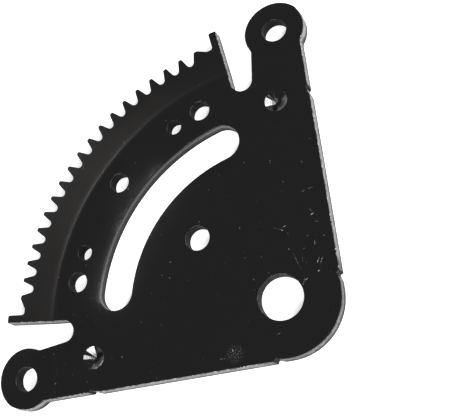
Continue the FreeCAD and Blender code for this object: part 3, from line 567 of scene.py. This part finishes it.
# %% A small language for finishes
class Finish:
    """The node tree of a material or a world, and short words for the nodes that feed its shader."""

    def __init__(self, block, shader):
        """Takes up the tree of a material or a world, and the shader node of that name in it."""
        block.use_nodes = True
        self.tree = block.node_tree
        self.shader = self.tree.nodes[shader]

    def node(self, kind, **settings):
        """A new node of that kind, with its settings."""
        made = self.tree.nodes.new(kind)
        for name, value in settings.items():
            setattr(made, name, value)
        return made

    def join(self, socket, value):
        """Links an output to the socket, or sets the socket to a plain value."""
        if isinstance(value, bpy.types.NodeSocket):
            self.tree.links.new(value, socket)
        else:
            socket.default_value = value

    def set(self, **values):
        """Joins values to the shader's sockets, whose names have a space for each underscore."""
        for name, value in values.items():
            self.join(self.shader.inputs[name.replace("_", " ")], value)

    def carried(self, name):
        """The number of that name that each point of the mesh carries."""
        return self.node("ShaderNodeAttribute", attribute_name=name).outputs["Fac"]

    def math(self, operation, *values):
        """One operation on one or two values."""
        made = self.node("ShaderNodeMath", operation=operation)
        for socket, value in zip(made.inputs, values):
            self.join(socket, value)
        return made.outputs[0]

    def chain(self, operation, first, *others):
        """The operation on the first two values, then on the outcome and the next one, and so on."""
        for other in others:
            first = self.math(operation, first, other)
        return first

    def product(self, *values):
        """All the values multiplied."""
        return self.chain("MULTIPLY", *values)

    def total(self, *values):
        """All the values added."""
        return self.chain("ADD", *values)

    def largest(self, *values):
        """The largest of the values."""
        return self.chain("MAXIMUM", *values)

    def ramp(self, value, low, high, to_low=0.0, to_high=1.0):
        """Goes smoothly from one number to another while the value goes from low to high."""
        made = self.node("ShaderNodeMapRange", interpolation_type="SMOOTHSTEP")
        for socket, item in zip(made.inputs, (value, low, high, to_low, to_high)):
            self.join(socket, item)
        return made.outputs[0]

    def bands(self, value, *stops):
        """A grey by stretches: each stop is a place and its number, and the stops are joined straight."""
        made = self.node("ShaderNodeValToRGB")
        marks = made.color_ramp.elements
        while len(marks) < len(stops):
            marks.new(1.0)
        for mark, (place, number) in zip(marks, stops):
            mark.position, mark.color = place, (number, number, number, 1)
        self.join(made.inputs[0], value)
        return made.outputs[0]

    def blend(self, share, first, second):
        """The first colour where the share is 0, the second where it is 1, and mixed between."""
        made = self.node("ShaderNodeMix", data_type="RGBA")
        for socket, value in ((made.inputs[0], share), (made.inputs[6], first), (made.inputs[7], second)):
            self.join(socket, value)
        return made.outputs[2]

    def moved(self, where, shift=(0, 0, 0), turn=0.0, scale=(1, 1, 1)):
        """The place as seen from a spot with its own direction and units."""
        made = self.node("ShaderNodeMapping", vector_type="TEXTURE")
        for socket, value in zip(made.inputs, (where, shift, (0, 0, turn), scale)):
            self.join(socket, value)
        return made.outputs[0]

    def length(self, vector):
        """How long the vector is."""
        made = self.node("ShaderNodeVectorMath", operation="LENGTH")
        self.join(made.inputs[0], vector)
        return made.outputs["Value"]

    def noise(self, where, scale, detail=2.0, roughness=0.5):
        """Soft random spots, about one over the scale apart, with finer ones laid over them."""
        made = self.node("ShaderNodeTexNoise")
        self.join(made.inputs["Vector"], where)
        for name, value in (("Scale", scale), ("Detail", detail), ("Roughness", roughness)):
            made.inputs[name].default_value = value
        return made.outputs["Fac"]

    def bump(self, height, distance, normal=None):
        """The surface's direction, tilted as if the height stood out by that distance."""
        made = self.node("ShaderNodeBump")
        made.inputs["Strength"].default_value = 1.0
        made.inputs["Distance"].default_value = distance
        self.join(made.inputs["Height"], height)
        if normal is not None:
            self.join(made.inputs["Normal"], normal)
        return made.outputs[0]


print("finish words:", ", ".join(word for word in vars(Finish) if not word.startswith("_")))

# %% [markdown]
# ## The paint
# The plate is dipped or sprayed black, with a satin gloss. The flat faces are nearly as dark as paint
# gets, so what makes it look real is in the gloss: faint orange peel, and walls that still show the
# streaks of the press under the paint. The rim is painted lighter and a little warmer than the flat:
# partly dust, where the paint was stretched and dulled where the press gripped it, and partly a painted
# sheen that is brightest in its middle. First the finish finds out where on the plate it is: from the
# place itself, in metres, and from the numbers that the points carry.

# %% Where on the plate
painted = bpy.data.materials.new("black_paint")
paint = Finish(painted, "Principled BSDF")
spot = paint.node("ShaderNodeTexCoord").outputs["Object"]
split = paint.node("ShaderNodeSeparateXYZ")
paint.join(split.inputs[0], spot)
to_right, to_teeth = split.outputs[0], split.outputs[1]
in_plane = paint.node("ShaderNodeCombineXYZ")
paint.join(in_plane.inputs[0], to_right)
paint.join(in_plane.inputs[1], to_teeth)
from_pivot = paint.length(in_plane.outputs[0])
down, rubbed_wall, drilled = (paint.carried(name) for name in ("depth", "rubbed", "drilled"))
sheared = paint.ramp(rubbed_wall, 0.78, 0.95)
beyond_corner = paint.ramp(from_pivot, 0.0310, 0.0335)
beyond_fold = paint.product(paint.ramp(from_pivot, 0.1238, 0.1262), paint.ramp(to_teeth, 0.088, 0.100))
below_front, above_back = paint.ramp(down, 0.03, 0.06), paint.ramp(down, 1.0, 0.97)
on_wall = paint.product(below_front, above_back, paint.ramp(drilled, 1.0, 0.0))
print("paint", len(paint.tree.nodes), "nodes to find the place")

# %% Black, and a dusty black with painted sheen on the rim
# The rim's black below is lighter and warmer: partly dust, partly a painted sheen that fades to the right, to
# the far left and towards the tips.
BLACK, DUST_AND_SHEEN_BLACK = (0.0092, 0.0085, 0.0089, 1), (0.0222, 0.0206, 0.0184, 1)
mottle = paint.noise(spot, 45.0, 4.0, 0.6)
sheen_less_right = paint.ramp(to_right, 0.010, 0.074, 1.0, 0.15)
sheen_less_left = paint.ramp(to_right, -0.062, -0.012, 0.5, 1.0)
sheen_less_outward = paint.ramp(from_pivot, 0.1400, 0.127, 0.25, 1.0)
black_dust_and_sheen = paint.blend(paint.product(beyond_fold, sheen_less_right, sheen_less_left, sheen_less_outward), BLACK, DUST_AND_SHEEN_BLACK)
print("black", BLACK[:3], "to", DUST_AND_SHEEN_BLACK[:3])

# %% [markdown]
# Handling leaves light scuffs. Each is a short dab: the distance from its middle, measured in its own
# lengths and widths, is turned into a soft spot, and a fine grain breaks it up. They are listed by place
# in millimetres, direction in degrees, half length, half width and strength. The last eight lie on the
# upper edge of the side walls, where the paint has chipped.

# %% Scuffs
SCUFFS = (
    (51.9, 45.1, -138, 1.1, 0.19, 0.60),
    (60.0, 31.1, -103, 0.8, 0.29, 0.25),
    (48.2, 21.7, -31, 1.1, 0.19, 0.40),
    (51.2, 19.7, -40, 1.5, 0.19, 0.40),
    (41.0, 11.2, -21, 1.2, 0.19, 1.00),
    (42.3, 12.9, -102, 1.4, 0.17, 0.15),
    (39.3, 7.1, -58, 1.2, 0.15, 0.35),
    (28.7, 19.1, -30, 1.1, 0.17, 0.70),
    (26.7, 18.8, -76, 0.6, 0.19, 0.60),
    (26.2, 20.9, -71, 2.6, 0.12, 0.25),
    (30.3, 1.8, -144, 1.2, 0.17, 0.50),
    (20.9, 10.3, -116, 0.5, 0.22, 0.50),
    (18.4, 3.7, -118, 4.4, 0.12, 0.35),
    (20.8, 2.2, -137, 1.5, 0.19, 0.30),
    (24.3, -4.5, 15, 1.6, 0.17, 0.85),
    (25.2, -5.8, -160, 1.8, 0.17, 0.75),
    (20.3, -7.7, -10, 0.8, 0.22, 0.80),
    (12.5, -4.8, 21, 1.5, 0.19, 0.70),
    (13.7, -5.3, -6, 1.0, 0.19, 0.60),
    (11.1, -5.2, -114, 0.6, 0.19, 0.40),
    (35.5, 0.2, -102, 0.4, 0.29, 0.30),
    (16.1, 37.5, -100, 0.6, 0.19, 0.60),
    (-33.5, 4.2, -122, 1.0, 0.22, 0.70),
    (-39.8, 5.7, -45, 1.5, 0.29, 0.25),
    (-14.2, -9.6, -18, 1.2, 0.24, 0.35),
    (-50.8, 52.2, -95, 0.6, 0.19, 0.50),
    (-46.0, 98.5, -95, 0.8, 0.19, 0.50),
    (-70.5, 49.5, -94, 0.8, 0.24, 0.40),
    (45.3, 3.7, 44, 0.7, 0.34, 1.00),
    (43.3, 1.8, 44, 0.5, 0.30, 0.90),
    (33.1, -8.2, 44, 0.6, 0.42, 1.00),
    (31.2, -10.1, 44, 0.9, 0.30, 1.00),
    (26.8, -14.4, 44, 0.8, 0.36, 1.00),
    (-42.0, 0.5, -44, 0.5, 0.20, 0.80),
    (-37.4, -4.0, -44, 0.4, 0.22, 0.80),
    (-33.5, -7.9, -44, 0.6, 0.20, 0.80),
)
FRONT, HALF_HEIGHT = THICKNESS / 1000, 0.001
dabs = []
for x, y, degrees, half_length, half_width, strength in SCUFFS:
    middle, halves = (x / 1000, y / 1000, FRONT), (half_length / 1000, half_width / 1000, HALF_HEIGHT)
    dab = paint.moved(spot, middle, math.radians(degrees), halves)
    dabs.append(paint.ramp(paint.length(dab), 1.3, 0.2, 0.0, strength))
scuffed = paint.largest(*dabs)
print("paint:", len(SCUFFS), "scuffs")

# %% [markdown]
# Finer wear comes from noise, cut off so that only its peaks show, and kept to one part of the plate: a
# faint smudge of speckle to the left of the rounded corner, tiny specks on the faces, and chips along the
# upper edge of the side walls.

# %% Speckle, specks and chips
SMUDGE, SMUDGE_HALVES = (-0.0343, 0.0021, FRONT), (0.0046, 0.0042, 0.002)
SMUDGE_STRENGTH, SPECK_STRENGTH = 0.22, 0.15
speckle = paint.ramp(paint.noise(spot, 1500.0, 3.0, 0.7), 0.52, 0.66)
in_smudge = paint.ramp(paint.length(paint.moved(spot, SMUDGE, 0.0, SMUDGE_HALVES)), 1.25, 0.3)
smudged = paint.product(in_smudge, speckle, SMUDGE_STRENGTH)
tiny = paint.ramp(paint.noise(spot, 800.0, 0.0), 0.82, 0.90)
specks = paint.product(tiny, paint.ramp(mottle, 0.45, 0.6), SPECK_STRENGTH)
on_edge = paint.product(paint.ramp(down, 0.0, 0.004), paint.ramp(down, 0.14, 0.08))
flaked = paint.ramp(paint.noise(spot, 480.0, 3.0, 0.65), 0.55, 0.60)
chips = paint.product(on_edge, flaked, sheared, beyond_corner)
broken = paint.ramp(paint.noise(spot, 1400.0, 2.0), 0.42, 0.58, 0.12, 1.0)
worn = paint.largest(paint.product(scuffed, broken), smudged, specks, chips)
print("paint", len(paint.tree.nodes), "nodes with its wear")

# %% [markdown]
# The outer walls are painted pale from the front down to about two fifths of the thickness: paint rubbed
# thin, and a painted reflection of the white floor. Below a ragged line they are dark, with one faint
# paler band, and the pale gives out above the foot, where the floor they mirror lies in shade. Streaks of
# the press run down them: a noise that is stretched nine times down the wall. The side of each drill mark
# away from the teeth is a dull pale grey, painted as the light that its slope catches.

# %% Colour of the walls and the marks
# The first grey below paints the walls pale: partly rubbed paint, partly a painted reflection of the white
# floor. The second paints the side of each mark away from the teeth as a painted pool of light.
RUB_AND_LIGHT_GREY, LIT_SIDE_GREY, WORN_GREY = (0.41, 0.41, 0.42, 1), (0.115, 0.112, 0.112, 1), (0.72, 0.70, 0.68, 1)
STRETCH, ROUND_CORNER = 9, 0.40
DOWN_THE_WALL = (
    (0.0, 0.0), (0.04, 0.8), (0.20, 0.85), (0.28, 1.0), (0.36, 0.9), (0.43, 0.25),
    (0.54, 0.18), (0.60, 0.32), (0.70, 0.2), (0.80, 0.02), (1.0, 0.0),
)
streaks = paint.noise(paint.moved(spot, scale=(1, 1, STRETCH)), 900.0, 3.0, 0.6)
ragged = paint.ramp(paint.noise(spot, 420.0, 3.0, 0.65), 0.35, 0.65, -0.14, 0.07)
torn_line = paint.total(down, paint.product(ragged, paint.ramp(sheared, 0.0, 1.0, 0.2, 1.0)))
near_front = paint.ramp(down, 0.22, 0.30, paint.ramp(sheared, 0.0, 1.0, 0.5, 1.0), 1.0)
band = paint.product(paint.bands(torn_line, *DOWN_THE_WALL), near_front)
less_round = paint.ramp(beyond_corner, 0.0, 1.0, ROUND_CORNER, 1.0)
pale_rub_and_light = paint.product(rubbed_wall, on_wall, band, less_round, paint.ramp(streaks, 0.3, 0.7, 0.8, 1.0))
painted_lit_side = paint.product(drilled, rubbed_wall)
color = paint.blend(painted_lit_side, paint.blend(pale_rub_and_light, black_dust_and_sheen, RUB_AND_LIGHT_GREY), LIT_SIDE_GREY)
paint.set(Base_Color=paint.blend(worn, color, WORN_GREY))
print("walls in", len(DOWN_THE_WALL), "stops from front to back")

# %% [markdown]
# The roughness is a sum. The faces are even, the rim a little duller, and the fold, the walls, the
# painted lit side and the bottom of the marks duller still. The upper half of a mark shines more, where
# the paint lies thick: that is the coat.

# %% Gloss of the paint
PAINT_IOR = 1.6
rubbed_band = paint.product(band, paint.ramp(rubbed_wall, 0.0, 0.30))
dull = paint.product(on_wall, paint.ramp(rubbed_band, 1.0, 0.1))
off_fold = paint.math("ABSOLUTE", paint.math("SUBTRACT", from_pivot, BEND / 1000))
bottom = paint.ramp(down, 0.26, 0.42, 0.0, 0.22)
gloss = paint.total(
    paint.ramp(mottle, 0.3, 0.7, 0.060, 0.080),
    paint.product(beyond_fold, 0.06),
    paint.product(on_wall, paint.ramp(streaks, 0.35, 0.65, 0.06, 0.14)),
    paint.product(paint.ramp(off_fold, 0.0023, 0.0012), 0.12),
    paint.product(worn, 0.25),
    paint.product(dull, 0.30),
    paint.product(drilled, paint.total(paint.ramp(painted_lit_side, 0.0, 1.0, 0.0, 0.38), bottom)),
)
pooled = paint.product(drilled, paint.ramp(painted_lit_side, 0.0, 0.3, 1.0, 0.0), paint.ramp(down, 0.22, 0.34, 0.5, 0.0))
paint.set(Roughness=gloss, IOR=PAINT_IOR, Coat_Weight=pooled)
paint.set(Specular_IOR_Level=paint.ramp(dull, 0.0, 1.0, 0.5, 0.12))
print("paint IOR", PAINT_IOR)

# %% [markdown]
# Three bumps lie over each other, the highest of three hundredths of a millimetre: the orange peel, the
# streaks on the walls, and the round grooves that the drill has left in its marks. The grooves are a wave
# of the depth, since the depth of a cone goes with the radius.

# %% Surface of the paint
PEEL_HEIGHT, STREAK_HEIGHT, GROOVE_HEIGHT, GROOVES = 0.000008, 0.00003, 0.0000045, 85.0
peel = paint.bump(paint.noise(spot, 520.0, 2.0), PEEL_HEIGHT)
streaked = paint.bump(paint.product(on_wall, streaks), STREAK_HEIGHT, peel)
wave = paint.math("SINE", paint.product(down, GROOVES))
paint.set(Normal=paint.bump(paint.product(drilled, wave), GROOVE_HEIGHT, streaked))
mesh.materials.append(painted)
print("paint", len(paint.tree.nodes), "nodes in all")

# %% [markdown]
# ## The studio
# The plate lies on white paper in a light tent: white round the horizon, dark overhead where the flat
# paint would mirror it, three long softboxes on the near side, and two narrow ones that the fold mirrors
# as a soft line. The paper glows a little by itself, so that it is white to the camera and still shows
# the shadow right beside the plate. In reflections it glows only further out.

# %% Floor
REACH, PAPER_WHITE = 3.0, (0.95, 0.95, 0.95, 1)
floor_mesh = bpy.data.meshes.new("floor")
floor_corners = [(x * REACH, y * REACH, 0) for x, y in ((-1, -1), (1, -1), (1, 1), (-1, 1))]
floor_mesh.from_pydata(floor_corners, [], [(0, 1, 2, 3)])
floor = bpy.data.objects.new("floor", floor_mesh)
bpy.context.scene.collection.objects.link(floor)
sheet = bpy.data.materials.new("white_paper")
paper = Finish(sheet, "Principled BSDF")
seen_by = paper.node("ShaderNodeLightPath").outputs
paper.set(Base_Color=PAPER_WHITE, Roughness=0.9, Specular_IOR_Level=0.0)
from_middle = paper.length(paper.node("ShaderNodeTexCoord").outputs["Object"])
further_out = paper.ramp(from_middle, 0.30, 0.80, 0.0, 0.80)
to_camera = paper.product(seen_by["Is Camera Ray"], 0.68)
glow = paper.total(to_camera, paper.product(seen_by["Is Glossy Ray"], further_out))
paper.set(Emission_Color=(1, 1, 1, 1), Emission_Strength=glow)
floor_mesh.materials.append(sheet)
print("floor", 2 * REACH, "m wide")

# %% World
OVERHEAD, TENT_WHITE = (0.12, 0.12, 0.12, 1), (1.3, 1.3, 1.3, 1)
world = bpy.data.worlds.new("studio")
tent = Finish(world, "Background")
sky = tent.node("ShaderNodeSeparateXYZ")
tent.join(sky.inputs[0], tent.node("ShaderNodeTexCoord").outputs["Generated"])
low = tent.ramp(sky.outputs[2], 0.42, 0.20)
white = tent.product(low, tent.ramp(sky.outputs[1], 0.60, 0.90, 0.30, 1.0))
tent.set(Color=tent.blend(white, OVERHEAD, TENT_WHITE))
bpy.context.scene.world = world
print("tent", OVERHEAD[0], "overhead,", TENT_WHITE[0], "round the horizon")

# %% Lamps
AIM = (0.0, 0.06, 0.0)


def placed(sideways, upward, backward, origin):
    """The matrix whose columns are three directions and a place."""
    return Matrix([*np.column_stack([sideways, upward, backward, origin]).tolist(), [0, 0, 0, 1]])


def softbox(name, first, last, width, radiance):
    """A long lamp from one end to the other, turned to the plate, as bright as a screen of that radiance:
    its power is radiance times pi times its area."""
    first, last = np.array(first), np.array(last)
    center, length = (first + last) / 2, np.linalg.norm(last - first)
    lamp = bpy.data.lights.new(name, "AREA")
    lamp.shape = "RECTANGLE"
    lamp.size, lamp.size_y = length, width
    lamp.energy = radiance * math.pi * length * width
    made = bpy.data.objects.new(name, lamp)
    bpy.context.scene.collection.objects.link(made)
    sideways = (last - first) / length
    backward = center - AIM
    backward = backward - (backward @ sideways) * sideways
    backward /= np.linalg.norm(backward)
    made.matrix_world = placed(sideways, np.cross(backward, sideways), backward, center)


softbox("key_left", (-0.34, -0.57, 0.79), (-1.06, -0.04, 0.45), 0.13, 17.0)
softbox("key_right", (0.50, -0.53, 0.76), (1.06, 0.14, 0.37), 0.13, 17.0)
softbox("fill", (0.50, -0.25, 0.81), (0.14, -0.51, 0.85), 0.11, 13.0)
softbox("fold_middle", (-0.058, 0.450, 0.60), (0.050, 0.450, 0.60), 0.024, 6.6)
softbox("fold_left", (-0.150, 0.408, 0.60), (-0.062, 0.444, 0.60), 0.024, 3.8)

# %% [markdown]
# The camera looks down at the plate from beyond its rounded corner, at the photograph's angle. Its place,
# its three directions and its lens come from fitting the plate's outline and holes. The small shift
# moves the frame without turning the camera.

# %% Camera
EYE, LENS, SENSOR, SHIFT = (-0.00014, -0.11634, 0.34430), 57.65, 36.0, (0.122, 0.034)
FRAME_RIGHT = np.array([0.57848, -0.71603, -0.39071])
FRAME_DOWN = np.array([-0.8157, -0.50779, -0.27711])
AHEAD = np.array([0.00002, 0.47901, -0.87781])
camera_data = bpy.data.cameras.new("camera")
camera_data.sensor_fit = "HORIZONTAL"
camera_data.sensor_width, camera_data.lens = SENSOR, LENS
camera_data.shift_x, camera_data.shift_y = SHIFT
camera = bpy.data.objects.new("camera", camera_data)
bpy.context.scene.collection.objects.link(camera)
camera.matrix_world = placed(FRAME_RIGHT, -FRAME_DOWN, -AHEAD, EYE)
bpy.context.scene.camera = camera
bpy.context.scene.view_settings.view_transform = "Standard"
print("camera", LENS, "mm, at", EYE)

# %% [markdown]
# The plate is done.
